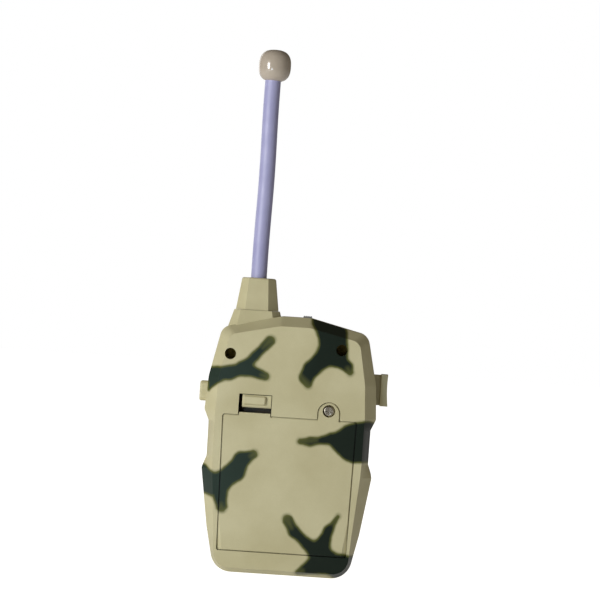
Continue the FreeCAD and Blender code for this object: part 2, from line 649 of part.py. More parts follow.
def make_cell(index):
    """One AA cell with its positive nub."""
    x = index * CELL_PITCH
    low, up = cell_span(index)
    nub_low = low + CELL_BODY if up else low
    body_low = low if up else low + CELL_NUB
    body = cyl("z", (x, CELL_Y), CELL_R, body_low, body_low + CELL_BODY)
    body = body.makeFillet(0.5, [e for e in body.Edges if len(e.Vertexes) == 1])
    sunk = 0.3
    nub_start = nub_low - sunk if up else nub_low
    return joined([body, cyl("z", (x, CELL_Y), 2.7, nub_start, nub_start + CELL_NUB + sunk)])


def make_spring_contacts():
    """Coil spring contacts on plates at each negative end."""
    parts = []
    for index in (-1, 0, 1):
        x = index * CELL_PITCH
        low_end = cell_span(index)[1]
        plate_z = BAY_LOW_Z if low_end else BAY_TOP_Z - 0.4
        spring_z = BAY_LOW_Z + 0.65 if low_end else BAY_TOP_Z - 3.1
        parts.append(box(x - 5.5, x + 5.5, 1.5, 12.5, plate_z, plate_z + 0.4))
        parts.append(coil_spring("z", V(x, CELL_Y, spring_z), 3.4, 0.5, 0.9, 2.45))
    return Part.makeCompound(parts)


def make_plate_contacts():
    """Flat contacts with a raised dimple at each positive end."""
    parts = []
    for index in (-1, 0, 1):
        x = index * CELL_PITCH
        top_end = cell_span(index)[1]
        plate_z = BAY_TOP_Z - 0.4 if top_end else BAY_LOW_Z
        dimple_low, dimple_high = (62.45, plate_z) if top_end else (plate_z + 0.4, 9.35)
        parts.append(box(x - 5.5, x + 5.5, 1.5, 12.5, plate_z, plate_z + 0.4).fuse(
            cyl("z", (x, CELL_Y), 2.0, dimple_low, dimple_high)))
    return Part.makeCompound(parts)


# ---------------------------------------------------------------- nodes
save("rear_shell", make_rear_shell())
save("front_shell", make_front_shell())
save("case_screws", make_case_screws())
save("antenna_collar", make_antenna_collar())
save("antenna_rod", make_antenna_rod())
save("antenna_tip", make_antenna_tip())
save("antenna_wire", aerial_wire())
save("loading_coil", make_loading_coil())
save("battery_door", make_battery_door())
save("battery_door_latch", make_battery_door_latch())
save("door_screw", make_door_screw())
save("screw_retaining_ring", make_screw_retaining_ring())
save("talk_button", make_talk_button())
save("talk_switch_slider", make_talk_switch_slider())
save("talk_switch_body", make_talk_switch_body())
save("talk_spring", coil_spring("x", V(-28.3, -2.0, 79.0), 2.4, 0.45, 1.3, 4.0))
save("call_button", make_call_button())
save("call_switch_body", make_call_switch_body())
save("call_spring", coil_spring("x", V(22.2, -2.0, 74.6), 2.2, 0.45, 1.5, 8.0))
save("power_switch_knob", make_power_switch_knob())
save("power_switch_body", make_power_switch_body())
save("circuit_board", make_circuit_board())
save("board_screws", round_head_screws(BOARD_SCREWS, BOARD_Y1, 2.1, -11.0))
CAPACITOR_CANS = [(-6.0, 73.0, 3.0, 9.0), (1.5, 73.0, 2.5, 8.0), (8.0, 72.0, 2.5, 8.0)]
save("electrolytic_capacitors", standing_cans(CAPACITOR_CANS))
save("disc_capacitors", make_disc_capacitors())
save("resistors", make_resistors())
save("transistors", make_transistors())
save("audio_chip", make_audio_chip())
save("coil_can", rounded_block(-8.0, -1.0, BOARD_Y1, 6.0, 78.5, 85.0, 0.6, "y"))
save("crystal_can", rounded_block(2.0, 13.0, BOARD_Y1, 9.0, 80.0, 84.5, 2.0, "y"))
save("status_led", make_status_led())
save("speaker_frame", make_speaker_frame())
save("speaker_cone", make_speaker_cone())
save("speaker_dust_cap", make_speaker_dust_cap())
save("speaker_magnet", make_speaker_magnet())
save("speaker_screws", round_head_screws(SPEAKER_SCREWS, -13.6, 2.2, -15.4))
save("grille_cloth", cyl("y", (0, SPEAKER_Z), 17.4, -15.0, -14.5))
for number, place in enumerate((-1, 0, 1), start=1):
    save("battery_cell_%d" % number, make_cell(place))
save("spring_contacts", make_spring_contacts())
save("plate_contacts", make_plate_contacts())
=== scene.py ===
"""Looks of a toy walkie talkie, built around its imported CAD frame.

The object is a hand-held toy two-way radio of moulded ABS with sprayed camouflage, a soft plastic aerial
with a ball tip, a spring-latched battery door and side buttons. Lengths named *_mm are millimetres and are
turned to metres where a mesh or a node needs them. +Y is the back of the radio, +Z runs up the aerial.
"""
import logging
import math
from dataclasses import dataclass, field
from enum import Enum
from typing import Any, Iterable, Optional, Union

import bmesh
import bpy
from mathutils import Matrix, Quaternion, Vector


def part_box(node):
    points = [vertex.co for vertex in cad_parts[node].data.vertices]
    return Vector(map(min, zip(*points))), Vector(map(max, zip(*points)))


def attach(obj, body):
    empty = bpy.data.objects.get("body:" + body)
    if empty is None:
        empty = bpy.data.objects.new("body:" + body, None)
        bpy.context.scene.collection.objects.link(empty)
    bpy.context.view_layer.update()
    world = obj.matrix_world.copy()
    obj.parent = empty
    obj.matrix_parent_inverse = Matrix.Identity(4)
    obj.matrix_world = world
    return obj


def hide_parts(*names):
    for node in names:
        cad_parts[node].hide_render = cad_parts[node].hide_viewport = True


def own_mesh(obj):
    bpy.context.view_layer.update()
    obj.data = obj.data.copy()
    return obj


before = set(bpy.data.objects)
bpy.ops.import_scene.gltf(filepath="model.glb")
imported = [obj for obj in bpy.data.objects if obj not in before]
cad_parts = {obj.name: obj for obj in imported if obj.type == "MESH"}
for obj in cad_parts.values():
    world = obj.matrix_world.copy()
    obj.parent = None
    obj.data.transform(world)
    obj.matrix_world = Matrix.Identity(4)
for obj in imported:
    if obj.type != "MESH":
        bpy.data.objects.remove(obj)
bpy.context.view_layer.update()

LOG = logging.getLogger("walkie_talkie")
MM = 0.001
Socket = bpy.types.NodeSocket
Colour = tuple[float, float, float, float]


class Body(Enum):
    """CAD bodies that pieces ride on."""

    HOUSING = "housing"
    DOOR = "battery_door"
    LATCH = "battery_door_latch"
    RING = "screw_ring"
    SCREW = "door_screw"
    TALK = "talk_button"
    CALL = "call_button"
    POWER = "power_knob"


# ------------------------------------------------------------------ small helpers
def colour(hex_code: str) -> Colour:
    """Turn an sRGB hex colour into the linear colour that shaders take.

    Args:
        hex_code: Colour such as "#b4ae8d".

    Returns:
        Linear red, green, blue and an alpha of one.
    """
    channels = [int(hex_code.lstrip("#")[i:i + 2], 16) / 255 for i in (0, 2, 4)]
    linear = [c / 12.92 if c <= 0.04045 else ((c + 0.055) / 1.055) ** 2.4 for c in channels]
    return (linear[0], linear[1], linear[2], 1.0)


def add(tree: bpy.types.NodeTree, kind: str, inputs: Optional[dict[Any, Any]] = None,
        **settings: Any) -> bpy.types.Node:
    """Add one node with its settings, and link or fill its inputs.

    Args:
        tree: Node tree that takes the node.
        kind: Node type, such as "ShaderNodeMath".
        inputs: Input name or index to a socket to link or a value to set.
        settings: Attributes of the node.

    Returns:
        The new node.
    """
    node = tree.nodes.new(kind)
    for name, value in settings.items():
        setattr(node, name, value)
    for key, value in (inputs or {}).items():
        if isinstance(value, Socket):
            tree.links.new(value, node.inputs[key])
        else:
            node.inputs[key].default_value = value
    return node


def link_object(name: str, mesh: bpy.types.Mesh) -> bpy.types.Object:
    """Put a mesh into the scene as an object at the origin.

    Args:
        name: Name of the piece.
        mesh: Finished mesh data.

    Returns:
        The new object.
    """
    piece = bpy.data.objects.new(name, mesh)
    bpy.context.scene.collection.objects.link(piece)
    return piece


def baked(piece: bpy.types.Object) -> bpy.types.Object:
    """Turn a piece with live modifiers into a plain mesh.

    Args:
        piece: Object whose modifiers are finished.

    Returns:
        The same object, with its evaluated mesh and no modifiers.
    """
    graph = bpy.context.evaluated_depsgraph_get()
    mesh = bpy.data.meshes.new_from_object(piece.evaluated_get(graph))
    old = piece.data
    piece.modifiers.clear()
    piece.data = mesh
    bpy.data.meshes.remove(old)
    return piece


def finish_piece(piece: bpy.types.Object, material: bpy.types.Material, body: Body,
                 stands_for: Iterable[str] = ()) -> bpy.types.Object:
    """Dress a finished piece and tie it to its CAD body.

    Args:
        piece: Object at the origin with its place in its mesh.
        material: Finish of the whole piece.
        body: CAD body that carries it.
        stands_for: CAD nodes that it replaces.

    Returns:
        The piece.
    """
    if not any(piece.data.materials):
        piece.data.materials.clear()
        piece.data.materials.append(material)
    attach(piece, body.value)
    nodes = list(stands_for)
    if nodes:
        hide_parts(*nodes)
    LOG.info("%s: %d faces on %s", piece.name, len(piece.data.polygons), body.value)
    return piece


def dress(node: str, material: bpy.types.Material) -> None:
    """Give a carried-over CAD node its finish.

    Args:
        node: Name of the CAD node.
        material: Finish of the whole node.
    """
    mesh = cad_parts[node].data
    mesh.materials.clear()
    mesh.materials.append(material)
    LOG.info("%s: CAD shape kept, %s", node, material.name)


def dress_all(finishes: dict[str, bpy.types.Material]) -> None:
    """Give several carried-over CAD nodes their finishes.

    Args:
        finishes: CAD node to its finish.
    """
    for node, material in finishes.items():
        dress(node, material)


def eased_copy(node: str, name: str, width_mm: float, segments: int = 2,
               sharp_deg: float = 25.0) -> bpy.types.Object:
    """Copy a CAD node and ease its edges, as a mould's corners are eased.

    Args:
        node: CAD node to copy.
        name: Name of the new piece.
        width_mm: Width of the eased edge.
        segments: Facets across each eased edge.
        sharp_deg: Edges that turn by more than this are eased.

    Returns:
        The new object with a plain mesh.
    """
    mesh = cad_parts[node].data.copy()
    mesh.materials.clear()
    grid = bmesh.new()
    grid.from_mesh(mesh)
    bmesh.ops.remove_doubles(grid, verts=grid.verts, dist=0.002 * MM)
    bmesh.ops.dissolve_limit(grid, angle_limit=math.radians(0.6), use_dissolve_boundaries=False,
                             verts=grid.verts, edges=grid.edges)
    grid.to_mesh(mesh)
    grid.free()
    mesh.shade_smooth()
    piece = link_object(name, mesh)
    bevel = piece.modifiers.new("eased edges", "BEVEL")
    bevel.width = width_mm * MM
    bevel.segments = segments
    bevel.limit_method = "ANGLE"
    bevel.angle_limit = math.radians(sharp_deg)
    bevel.use_clamp_overlap = True
    bevel.miter_outer = "MITER_ARC"
    weigh = piece.modifiers.new("flat faces stay flat", "WEIGHTED_NORMAL")
    weigh.weight = 100
    weigh.keep_sharp = True
    return baked(piece)


def grown(name: str, tree: bpy.types.NodeTree, inputs: dict[str, Any],
          start: Optional[bpy.types.Mesh] = None) -> bpy.types.Object:
    """Grow a piece with Geometry Nodes and keep the result as a plain mesh.

    Args:
        name: Name of the piece.
        tree: Node tree that makes it.
        inputs: Values for the tree's named inputs.
        start: Mesh that the tree begins with, such as points to build on.

    Returns:
        The piece, with no modifier left.
    """
    piece = link_object(name, start or bpy.data.meshes.new(name))
    modifier = piece.modifiers.new("grow", "NODES")
    modifier.node_group = tree
    sockets = {item.name: item.identifier for item in tree.interface.items_tree if item.in_out == "INPUT"}
    for label, value in inputs.items():
        modifier[sockets[label]] = value
    return baked(piece)


def new_tree(name: str, inputs: dict[str, str]) -> tuple[bpy.types.NodeTree, Any]:
    """Start a Geometry Nodes tree with named inputs and one geometry output.

    Args:
        name: Name of the tree.
        inputs: Input names with their kinds, such as "Float" or "Material".

    Returns:
        The tree and the outputs of its group input node.
    """
    group = bpy.data.node_groups.new(name, "GeometryNodeTree")
    for label, kind in inputs.items():
        group.interface.new_socket(name=label, in_out="INPUT", socket_type=f"NodeSocket{kind}")
    group.interface.new_socket(name="Piece", in_out="OUTPUT", socket_type="NodeSocketGeometry")
    return group, add(group, "NodeGroupInput").outputs


def end_tree(group: bpy.types.NodeTree, geometry: Socket, finish: Socket) -> bpy.types.NodeTree:
    """End a tree in real geometry with its finish.

    Args:
        group: Tree to end.
        geometry: Last geometry of the tree.
        finish: Material input.

    Returns:
        The tree.
    """
    whole = add(group, "GeometryNodeRealizeInstances", {"Geometry": geometry})
    dressed = add(group, "GeometryNodeSetMaterial", {"Geometry": whole.outputs[0], "Material": finish})
    add(group, "NodeGroupOutput", {"Piece": dressed.outputs[0]})
    return group


def turned_mesh(name: str, profile: list[tuple[float, float]], sides: int) -> bpy.types.Mesh:
    """Turn a profile about the Z axis into a closed smooth mesh.

    Args:
        name: Name of the mesh.
        profile: Radius and height of each ring, from the lower pole to the upper one.
        sides: Facets round the axis.

    Returns:
        The mesh.
    """
    grid = bmesh.new()
    chain = [grid.verts.new((radius, 0.0, height)) for radius, height in profile]
    edges = [grid.edges.new(pair) for pair in zip(chain, chain[1:])]
    bmesh.ops.spin(grid, geom=chain + edges, cent=(0, 0, 0), axis=(0, 0, 1), dvec=(0, 0, 0),
                   angle=2 * math.pi, steps=sides, use_merge=True)
    bmesh.ops.remove_doubles(grid, verts=grid.verts, dist=0.001 * MM)
    bmesh.ops.recalc_face_normals(grid, faces=grid.faces)
    mesh = bpy.data.meshes.new(name)
    grid.to_mesh(mesh)
    grid.free()
    mesh.shade_smooth()
    return mesh


# ------------------------------------------------------------------ finishes
def new_material(name: str) -> tuple[bpy.types.Material, bpy.types.NodeTree, bpy.types.Node]:
    """Start a node material.

    Args:
        name: Plain name of the finish.

    Returns:
        The material, its tree and its Principled shader.
    """
    material = bpy.data.materials.new(name)
    material.use_nodes = True
    tree = material.node_tree
    tree.nodes.clear()
    shader = add(tree, "ShaderNodeBsdfPrincipled")
    add(tree, "ShaderNodeOutputMaterial", {"Surface": shader.outputs[0]})
    return material, tree, shader


def object_mm(tree: bpy.types.NodeTree) -> Socket:
    """Object coordinates scaled to millimetres.

    Args:
        tree: Material's tree.

    Returns:
        Socket with the point in millimetres.
    """
    place = add(tree, "ShaderNodeTexCoord").outputs["Object"]
    return add(tree, "ShaderNodeVectorMath", {0: place, "Scale": 1 / MM}, operation="SCALE").outputs[0]


def noise(tree: bpy.types.NodeTree, place: Socket, size_mm: float, detail: float = 2.0) -> Socket:
    """Noise whose lumps are about size_mm across.

    Args:
        tree: Material's tree.
        place: Coordinates in millimetres.
        size_mm: Size of one lump.
        detail: Octaves of finer lumps.

    Returns:
        Socket with values around one half.
    """
    made = add(tree, "ShaderNodeTexNoise", {"Vector": place, "Scale": 1 / size_mm, "Detail": detail})
    return made.outputs["Fac"]


def spread(tree: bpy.types.NodeTree, value: Socket, low: float, high: float,
           to_low: float, to_high: float) -> Socket:
    """Map a range of values to another, clamped.

    Args:
        tree: Tree that takes the node.
        value: Value to map.
        low: Value that gives to_low.
        high: Value that gives to_high.
        to_low: Result at or below low.
        to_high: Result at or above high.

    Returns:
        Socket with the mapped value.
    """
    made = add(tree, "ShaderNodeMapRange", {0: value, 1: low, 2: high, 3: to_low, 4: to_high})
    return made.outputs[0]


def mixed(tree: bpy.types.NodeTree, share: Any, first: Any, second: Any) -> Socket:
    """Mix two colours.

    Args:
        tree: Material's tree.
        share: Share of the second colour, from zero to one.
        first: First colour.
        second: Second colour.

    Returns:
        Socket with the mixed colour.
    """
    made = add(tree, "ShaderNodeMix", {0: share, 6: first, 7: second}, data_type="RGBA")
    return made.outputs[2]


def grained(tree: bpy.types.NodeTree, shader: bpy.types.Node, height: Socket, depth_mm: float) -> None:
    """Give the surface a fine relief.

    Args:
        tree: Material's tree.
        shader: Principled shader that takes the relief.
        height: Values from zero to one.
        depth_mm: Depth of the relief.
    """
    bump = add(tree, "ShaderNodeBump", {"Height": height, "Distance": depth_mm * MM, "Strength": 1.0})
    tree.links.new(bump.outputs[0], shader.inputs["Normal"])


@dataclass(frozen=True)
class Stroke:
    """One pass of the spray gun, seen from the back: a line whose width changes, in millimetres."""

    start: tuple[float, float]
    start_radius: float
    end: tuple[float, float]
    end_radius: float


# Sprayed patches on the back half, each made of a few overlapping strokes (x, z).
BACK_PATCHES: tuple[Stroke, ...] = (
    # below the left screw recess, running down the side wall to a point
    Stroke((34.2, 74.5), 0.3, (32.0, 80.0), 3.0),
    Stroke((33.0, 81.0), 3.2, (26.0, 82.2), 2.5),
    Stroke((26.0, 82.2), 2.5, (20.5, 84.2), 2.6),
    Stroke((20.0, 84.8), 2.6, (15.8, 89.6), 1.3),
    Stroke((15.8, 89.6), 1.6, (10.1, 96.3), 1.9),
    Stroke((18.5, 84.0), 2.6, (11.2, 81.7), 1.6),
    # over the right shoulder, down on two legs
    Stroke((-11.8, 106.0), 5.2, (-15.2, 101.0), 5.3),
    Stroke((-15.6, 100.0), 5.7, (-16.0, 94.6), 6.0),
    Stroke((-14.0, 92.0), 4.4, (-8.0, 86.4), 3.0),
    Stroke((-7.4, 85.4), 3.3, (-5.8, 82.4), 2.6),
    Stroke((-5.8, 82.4), 2.5, (-6.7, 79.7), 1.5),
    Stroke((-18.0, 91.0), 3.9, (-22.3, 87.7), 1.8),
    Stroke((-22.3, 87.7), 1.8, (-23.4, 85.6), 1.1),
    # below the door screw: a thin arm that opens towards the right wall
    Stroke((-5.2, 56.0), 1.1, (-9.0, 56.1), 1.4),
    Stroke((-9.0, 56.1), 1.4, (-14.5, 57.1), 1.4),
    Stroke((-14.5, 57.1), 1.2, (-17.5, 57.8), 2.0),
    Stroke((-17.5, 57.8), 2.0, (-21.5, 57.0), 4.0),
    Stroke((-21.5, 57.0), 3.8, (-27.0, 56.8), 7.8),
    Stroke((-27.0, 56.8), 7.8, (-31.5, 57.4), 8.4),
    # left edge of the door
    Stroke((14.0, 49.4), 1.7, (18.6, 47.0), 3.0),
    Stroke((18.6, 46.6), 3.0, (21.0, 42.0), 3.8),
    Stroke((21.0, 42.0), 3.8, (25.2, 38.6), 3.8),
    Stroke((25.5, 38.0), 3.0, (26.4, 31.5), 2.4),
    Stroke((26.4, 31.5), 2.4, (25.6, 27.5), 2.2),
    Stroke((25.5, 37.6), 3.0, (30.5, 36.2), 4.4),
    Stroke((30.5, 36.2), 4.4, (35.5, 37.8), 6.2),
    # lower right corner, with two raised arms
    Stroke((-2.0, 23.3), 2.1, (-5.0, 18.6), 1.9),
    Stroke((-5.0, 18.6), 1.9, (-10.6, 14.2), 2.1),
    Stroke((-22.4, 26.2), 0.6, (-18.8, 20.2), 1.5),
    Stroke((-18.8, 20.2), 1.7, (-17.0, 15.0), 2.9),
    Stroke((-10.6, 14.0), 1.9, (-15.5, 11.0), 4.2),
    Stroke((-15.5, 11.5), 4.2, (-17.5, 8.5), 5.2),
    Stroke((-7.6, 2.2), 1.2, (-13.5, 5.2), 3.6),
    Stroke((-17.5, 6.5), 4.2, (-24.5, 6.5), 4.4),
    Stroke((-24.5, 5.0), 5.0, (-34.0, 4.0), 6.0),
)

# Thin olive overspray where a stroke begins or ends.
BACK_MIST: tuple[Stroke, ...] = (
    Stroke((9.3, 97.1), 1.9, (12.8, 93.4), 0.5),
    Stroke((10.2, 81.5), 1.6, (12.6, 82.2), 0.5),
    Stroke((-6.8, 78.7), 1.7, (-3.2, 83.0), 0.7),
    Stroke((-23.6, 85.2), 1.6, (-22.4, 87.0), 0.8),
    Stroke((-4.4, 56.0), 1.5, (-11.5, 56.8), 0.6),
    Stroke((13.2, 50.0), 1.7, (14.6, 48.8), 0.9),
    Stroke((25.4, 25.8), 2.1, (25.8, 28.0), 0.7),
    Stroke((-1.2, 24.4), 2.2, (-3.6, 20.6), 0.7),
    Stroke((-22.6, 26.5), 1.3, (-20.6, 23.4), 0.9),
    Stroke((-7.0, 1.8), 1.4, (-9.0, 3.0), 0.9),
)

# The unseen front gets patches of the same kind.
FRONT_PATCHES: tuple[Stroke, ...] = (
    Stroke((-33.0, 88.0), 4.0, (-22.0, 86.0), 2.6),
    Stroke((-22.0, 86.0), 2.6, (-14.0, 91.0), 1.6),
    Stroke((14.0, 103.0), 4.5, (18.0, 95.0), 4.4),
    Stroke((18.0, 95.0), 4.0, (24.0, 86.0), 2.0),
    Stroke((34.0, 62.0), 5.0, (26.0, 60.0), 3.4),
    Stroke((26.0, 60.0), 3.0, (22.0, 50.0), 1.8),
    Stroke((-35.0, 44.0), 5.6, (-26.0, 42.0), 3.6),
    Stroke((-26.0, 42.0), 3.0, (-21.0, 49.0), 1.6),
    Stroke((24.0, 6.0), 5.6, (14.0, 8.0), 3.0),
    Stroke((27.0, 14.0), 4.0, (22.0, 22.0), 1.6),
    Stroke((-24.0, 8.0), 4.6, (-27.0, 18.0), 2.2),
)


def stroke_group() -> bpy.types.NodeTree:
    """Node group: distance in millimetres from a point to the edge of one stroke.

    Returns:
        The group, whose distance is negative inside the stroke.
    """
    group = bpy.data.node_groups.new("spray stroke", "ShaderNodeTree")
    for name, kind in (("Point", "NodeSocketVector"), ("Start", "NodeSocketVector"),
                       ("End", "NodeSocketVector"), ("Start Radius", "NodeSocketFloat"),
                       ("End Radius", "NodeSocketFloat")):
        group.interface.new_socket(name=name, in_out="INPUT", socket_type=kind)
    group.interface.new_socket(name="Distance", in_out="OUTPUT", socket_type="NodeSocketFloat")
    taken = add(group, "NodeGroupInput").outputs

    def vector(operation: str, first: Any, second: Any = (0.0, 0.0, 0.0)) -> bpy.types.Node:
        """Add one vector operation.

        Args:
            operation: Name of the operation.
            first: Its first vector.
            second: Its second vector.

        Returns:
            The node.
        """
        return add(group, "ShaderNodeVectorMath", {0: first, 1: second}, operation=operation)

    offset = vector("SUBTRACT", taken["Point"], taken["Start"]).outputs[0]
    run = vector("SUBTRACT", taken["End"], taken["Start"]).outputs[0]
    along = vector("DOT_PRODUCT", offset, run).outputs["Value"]
    length = vector("DOT_PRODUCT", run, run).outputs["Value"]
    safe = add(group, "ShaderNodeMath", {0: length, 1: 1e-6}, operation="MAXIMUM").outputs[0]
    share = add(group, "ShaderNodeMath", {0: along, 1: safe}, operation="DIVIDE", use_clamp=True).outputs[0]
    foot = add(group, "ShaderNodeVectorMath", {0: run, "Scale": share}, operation="SCALE").outputs[0]
    gap = vector("SUBTRACT", offset, foot).outputs[0]
    away = vector("LENGTH", gap).outputs["Value"]
    width = add(group, "ShaderNodeMix", {0: share, 2: taken["Start Radius"], 3: taken["End Radius"]}).outputs[0]
    edge = add(group, "ShaderNodeMath", {0: away, 1: width}, operation="SUBTRACT").outputs[0]
    add(group, "NodeGroupOutput", {"Distance": edge})
    return group


def patch_distance(tree: bpy.types.NodeTree, place: Socket, strokes: Iterable[Stroke],
                   group: bpy.types.NodeTree, blend_mm: float) -> Socket:
    """Distance to the nearest patch, with strokes flowing into each other.

    Args:
        tree: Material's tree.
        place: Point in millimetres with y set to zero.
        strokes: Strokes that make the patches.
        group: The spray stroke group.
        blend_mm: How far strokes flow into each other.

    Returns:
        Distance in millimetres, negative inside.
    """
    nearest: Optional[Socket] = None
    for stroke in strokes:
        made = add(tree, "ShaderNodeGroup", node_tree=group)
        tree.links.new(place, made.inputs["Point"])
        made.inputs["Start"].default_value = (stroke.start[0], 0.0, stroke.start[1])
        made.inputs["End"].default_value = (stroke.end[0], 0.0, stroke.end[1])
        made.inputs["Start Radius"].default_value = stroke.start_radius
        made.inputs["End Radius"].default_value = stroke.end_radius
        if nearest is None:
            nearest = made.outputs[0]
        else:
            nearest = add(tree, "ShaderNodeMath", {0: nearest, 1: made.outputs[0], 2: blend_mm},
                          operation="SMOOTH_MIN").outputs[0]
    return nearest


@dataclass(frozen=True)
class CamouflagedAbs:
    """Injection-moulded khaki ABS with dark green paint sprayed through a stencil.

    The bare plastic has the soft satin of a fine spark-eroded mould; the paint is smoother and a little
    glossier. It thins to a yellow olive where the gun lifted. Towards +X the green is painted lighter and greyer,
    a painted reflection of the window light on that side. Where a depth is given, the colour below it is painted
    darker as painted shade in seams and recesses.
    """

    name: str
    patches: tuple[Stroke, ...]
    mist: tuple[Stroke, ...] = ()
    base: str = "#cbc49d"
    base_dull: str = "#bfb78e"
    paint: str = "#0b180c"
    # Lighter, greyer green painted towards +X: a painted reflection of the window light on the paint.
    paint_glare: str = "#27382f"
    glare_from_mm: float = -10.0
    glare_to_mm: float = 28.0
    olive: str = "#54570f"
    base_roughness: float = 0.42
    paint_roughness: float = 0.30
    paint_specular: float = 0.22
    waver_mm: float = 0.32
    waver_size_mm: float = 3.5
    blend_mm: float = 2.6
    mist_blend_mm: float = 0.5
    parting_y_mm: float = -2.0
    wrap_from_mm: float = 11.5
    wrap_to_mm: float = 2.0
    wrap_shrink_mm: float = 9.5
    # Painted shade: colour and depth below which the surface is painted darker, standing in for shadow in
    # recesses.
    painted_shade: str = "#2f2408"
    painted_shade_below_mm: Optional[float] = None
    painted_shade_fade_mm: float = 0.6

    def build(self) -> bpy.types.Material:
        """Make the material.

        Returns:
            The finished material.
        """
        material, tree, shader = new_material(self.name)
        group = bpy.data.node_groups.get("spray stroke") or stroke_group()
        place = object_mm(tree)
        shift = add(tree, "ShaderNodeTexNoise", {"Vector": place, "Scale": 1 / self.waver_size_mm, "Detail": 2.0})
        centred = add(tree, "ShaderNodeVectorMath", {0: shift.outputs["Color"], 1: (0.5, 0.5, 0.5)},
                      operation="SUBTRACT").outputs[0]
        waver = add(tree, "ShaderNodeVectorMath", {0: centred, "Scale": self.waver_mm * 2},
                    operation="SCALE").outputs[0]
        moved = add(tree, "ShaderNodeVectorMath", {0: place, 1: waver}, operation="ADD").outputs[0]
        flat = add(tree, "ShaderNodeVectorMath", {0: moved, 1: (1.0, 0.0, 1.0)}, operation="MULTIPLY").outputs[0]
        distance = patch_distance(tree, flat, self.patches, group, self.blend_mm)
        along = add(tree, "ShaderNodeSeparateXYZ", {0: moved}).outputs
        depth = along["Y"]
        past = add(tree, "ShaderNodeMath", {0: depth, 1: self.parting_y_mm}, operation="SUBTRACT").outputs[0]
        aside = add(tree, "ShaderNodeMath", {0: past}, operation="ABSOLUTE").outputs[0]
        wrap = spread(tree, aside, self.wrap_to_mm, self.wrap_from_mm, 1.0, 0.0)
        bent = add(tree, "ShaderNodeMath", {0: wrap, 1: 1.6}, operation="POWER").outputs[0]
        distance = add(tree, "ShaderNodeMath", {0: bent, 1: self.wrap_shrink_mm, 2: distance},
                       operation="MULTIPLY_ADD").outputs[0]
        solid = spread(tree, distance, -0.85, -0.05, 1.0, 0.0)
        halo = spread(tree, distance, -0.05, 1.0, 1.0, 0.0)
        if self.mist:
            mist = patch_distance(tree, flat, self.mist, group, self.mist_blend_mm)
            fog = spread(tree, mist, -1.1, 1.0, 1.0, 0.0)
            solid = add(tree, "ShaderNodeMath", {0: solid, 1: spread(tree, fog, 0.0, 1.0, 1.0, 0.38)},
                        operation="MULTIPLY").outputs[0]
            halo = add(tree, "ShaderNodeMath", {0: halo, 1: spread(tree, fog, 0.0, 1.0, 0.0, 0.95)},
                       operation="MAXIMUM").outputs[0]
            reach = spread(tree, distance, 0.0, 1.6, 1.0, 0.0)
            halo = add(tree, "ShaderNodeMath", {0: halo, 1: reach}, operation="MULTIPLY").outputs[0]
        speckle = noise(tree, place, 0.35, 1.0)
        broad = noise(tree, place, 22.0, 3.0)
        plastic = mixed(tree, spread(tree, broad, 0.35, 0.65, 0.0, 1.0), colour(self.base), colour(self.base_dull))
        plastic = mixed(tree, spread(tree, speckle, 0.30, 0.70, 0.0, 0.06), plastic, colour("#8f8659"))
        # Painted reflection: the green turns lighter and greyer towards +X, where the window light glances off the
        # paint.
        glare_side = spread(tree, along["X"], self.glare_from_mm, self.glare_to_mm, 0.1, 1.0)
        cloudy = spread(tree, broad, 0.3, 0.7, 0.75, 1.0)
        glare_share = add(tree, "ShaderNodeMath", {0: glare_side, 1: cloudy}, operation="MULTIPLY").outputs[0]
        green = mixed(tree, glare_share, colour(self.paint), colour(self.paint_glare))
        sprayed = mixed(tree, halo, plastic, colour(self.olive))
        finish = mixed(tree, solid, sprayed, green)
        # Painted shade: below the given depth the colour darkens, standing in for the shadow inside seams and
        # recesses.
        if self.painted_shade_below_mm is not None:
            shade_top_mm = self.painted_shade_below_mm
            in_shade = spread(tree, depth, shade_top_mm - self.painted_shade_fade_mm, shade_top_mm, 1.0, 0.0)
            finish = mixed(tree, in_shade, finish, colour(self.painted_shade))
        tree.links.new(finish, shader.inputs["Base Color"])
        smudge = noise(tree, place, 9.0, 3.0)
        matt = spread(tree, smudge, 0.3, 0.7, self.base_roughness - 0.05, self.base_roughness + 0.05)
        rough = add(tree, "ShaderNodeMix", {0: solid, 2: matt, 3: self.paint_roughness}).outputs[0]
        tree.links.new(rough, shader.inputs["Roughness"])
        relief = noise(tree, place, 0.22, 1.0)
        grained(tree, shader, relief, 0.012)
        shine = add(tree, "ShaderNodeMix", {0: solid, 2: 0.5, 3: self.paint_specular}).outputs[0]
        tree.links.new(shine, shader.inputs["Specular IOR Level"])
        shader.inputs["IOR"].default_value = 1.53
        return material


